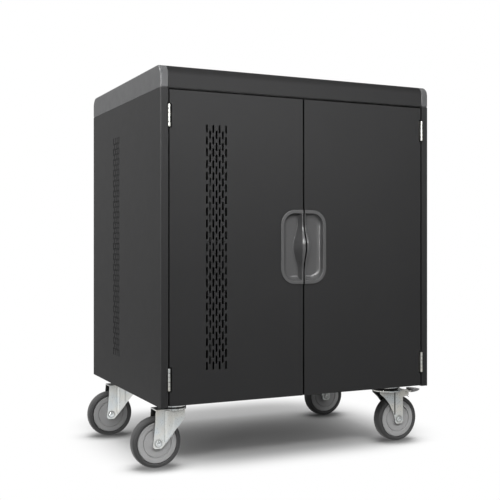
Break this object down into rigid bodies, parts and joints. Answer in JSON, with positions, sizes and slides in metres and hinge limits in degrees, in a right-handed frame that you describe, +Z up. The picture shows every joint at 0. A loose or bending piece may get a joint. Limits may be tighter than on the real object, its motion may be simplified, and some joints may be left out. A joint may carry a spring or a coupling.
{
  "type": "laptop charging cart",
  "caption": "Steel cabinet on swivel casters with two front doors, half-cup pulls, vent slots, divider racks for laptops and a rear power compartment.",
  "frame": {"origin": "on the floor below the centre of the cabinet", "axes": "+Z up, the doors face -Y, +X to the right seen from the front"},
  "size_m": [0.8425, 0.6048, 0.968],
  "materials": {
    "black_paint": "fine-textured satin powder coat",
    "cover_plastic": "satin",
    "cap_plastic": "matte moulded",
    "pull_plastic": "semi-gloss moulded",
    "rack_plastic": "matte",
    "socket_plastic": "matte",
    "zinc": "bright zinc plate",
    "hinge_steel": "bright zinc plate",
    "hub_plastic": "matte moulded",
    "tyre_rubber": "matte",
    "pedal_plastic": "matte moulded"
  },
  "bodies": {
    "cabinet": {"left_side_panel": "black_paint", "right_side_panel": "black_paint", "base_pan": "black_paint", "lower_shelf": "black_paint", "mid_shelf": "black_paint", "roof_pan": "black_paint", "partition": "black_paint", "rear_rail": "black_paint", "top_cover": "cover_plastic", "left_end_cap": "cap_plastic", "right_end_cap": "cap_plastic", "lower_rack": "rack_plastic", "upper_rack": "rack_plastic", "lower_outlet_strip": "socket_plastic", "upper_outlet_strip": "socket_plastic", "mains_inlet": "socket_plastic", "left_catch": "socket_plastic", "right_catch": "socket_plastic", "rear_pivot_lower": "zinc", "rear_pivot_upper": "zinc", "left_lower_hinge_frame_leaf": "hinge_steel", "left_lower_hinge_pin": "hinge_steel", "left_upper_hinge_frame_leaf": "hinge_steel", "left_upper_hinge_pin": "hinge_steel", "right_lower_hinge_frame_leaf": "hinge_steel", "right_lower_hinge_pin": "hinge_steel", "right_upper_hinge_frame_leaf": "hinge_steel", "right_upper_hinge_pin": "hinge_steel", "front_left_caster_plate": "zinc", "front_right_caster_plate": "zinc", "rear_left_caster_plate": "zinc", "rear_right_caster_plate": "zinc"},
    "left_door": {"left_door": "black_paint", "left_pull": "pull_plastic", "left_lower_hinge_door_leaf": "hinge_steel", "left_upper_hinge_door_leaf": "hinge_steel"},
    "right_door": {"right_door": "black_paint", "right_pull": "pull_plastic", "right_lower_hinge_door_leaf": "hinge_steel", "right_upper_hinge_door_leaf": "hinge_steel"},
    "rear_door": {"rear_door": "black_paint"},
    "rear_lock": {"rear_lock": "zinc"},
    "front_left_swivel": {"front_left_caster_fork": "zinc", "front_left_axle": "hinge_steel"},
    "front_left_wheel": {"front_left_hub": "hub_plastic", "front_left_tyre": "tyre_rubber"},
    "front_right_swivel": {"front_right_caster_fork": "zinc", "front_right_axle": "hinge_steel"},
    "front_right_wheel": {"front_right_hub": "hub_plastic", "front_right_tyre": "tyre_rubber"},
    "front_right_brake": {"front_right_brake_pedal": "pedal_plastic"},
    "rear_left_swivel": {"rear_left_caster_fork": "zinc", "rear_left_axle": "hinge_steel"},
    "rear_left_wheel": {"rear_left_hub": "hub_plastic", "rear_left_tyre": "tyre_rubber"},
    "rear_right_swivel": {"rear_right_caster_fork": "zinc", "rear_right_axle": "hinge_steel"},
    "rear_right_wheel": {"rear_right_hub": "hub_plastic", "rear_right_tyre": "tyre_rubber"},
    "rear_right_brake": {"rear_right_brake_pedal": "pedal_plastic"}
  },
  "joints": [
    {"name": "left_door_hinge", "type": "hinge", "parent": "cabinet", "child": "left_door", "pos_m": [-0.3594, -0.2945, 0.5375], "axis": [0, 0, -1], "range_deg": [0, 180]},
    {"name": "right_door_hinge", "type": "hinge", "parent": "cabinet", "child": "right_door", "pos_m": [0.3594, -0.2945, 0.5375], "axis": [0, 0, 1], "range_deg": [0, 180]},
    {"name": "rear_door_hinge", "type": "hinge", "parent": "cabinet", "child": "rear_door", "pos_m": [0.344, 0.285, 0.5816], "axis": [0, 0, -1], "range_deg": [0, 100]},
    {"name": "rear_lock_turn", "type": "hinge", "parent": "rear_door", "child": "rear_lock", "pos_m": [-0.322, 0.293, 0.286], "axis": [0, 1, 0], "range_deg": [0, 90]},
    {"name": "front_left_swivel", "type": "hinge", "parent": "cabinet", "child": "front_left_swivel", "pos_m": [-0.313, -0.199, 0.1417], "axis": [0, 0, 1], "continuous": true},
    {"name": "front_left_roll", "type": "hinge", "parent": "front_left_swivel", "child": "front_left_wheel", "pos_m": [-0.36, -0.199, 0.0625], "axis": [0, 1, 0], "continuous": true},
    {"name": "front_right_swivel", "type": "hinge", "parent": "cabinet", "child": "front_right_swivel", "pos_m": [0.313, -0.199, 0.1417], "axis": [0, 0, 1], "continuous": true},
    {"name": "front_right_roll", "type": "hinge", "parent": "front_right_swivel", "child": "front_right_wheel", "pos_m": [0.339, -0.199, 0.0625], "axis": [0, 1, 0], "continuous": true},
    {"name": "front_right_brake_press", "type": "hinge", "parent": "front_right_swivel", "child": "front_right_brake", "pos_m": [0.363, -0.199, 0.1337], "axis": [0, 1, 0], "range_deg": [0, 15]},
    {"name": "rear_left_swivel", "type": "hinge", "parent": "cabinet", "child": "rear_left_swivel", "pos_m": [-0.313, 0.199, 0.1417], "axis": [0, 0, 1], "continuous": true},
    {"name": "rear_left_roll", "type": "hinge", "parent": "rear_left_swivel", "child": "rear_left_wheel", "pos_m": [-0.36, 0.199, 0.0625], "axis": [0, 1, 0], "continuous": true},
    {"name": "rear_right_swivel", "type": "hinge", "parent": "cabinet", "child": "rear_right_swivel", "pos_m": [0.313, 0.199, 0.1417], "axis": [0, 0, 1], "continuous": true},
    {"name": "rear_right_roll", "type": "hinge", "parent": "rear_right_swivel", "child": "rear_right_wheel", "pos_m": [0.339, 0.199, 0.0625], "axis": [0, 1, 0], "continuous": true},
    {"name": "rear_right_brake_press", "type": "hinge", "parent": "rear_right_swivel", "child": "rear_right_brake", "pos_m": [0.363, 0.199, 0.1337], "axis": [0, 1, 0], "range_deg": [0, 15]}
  ]
}
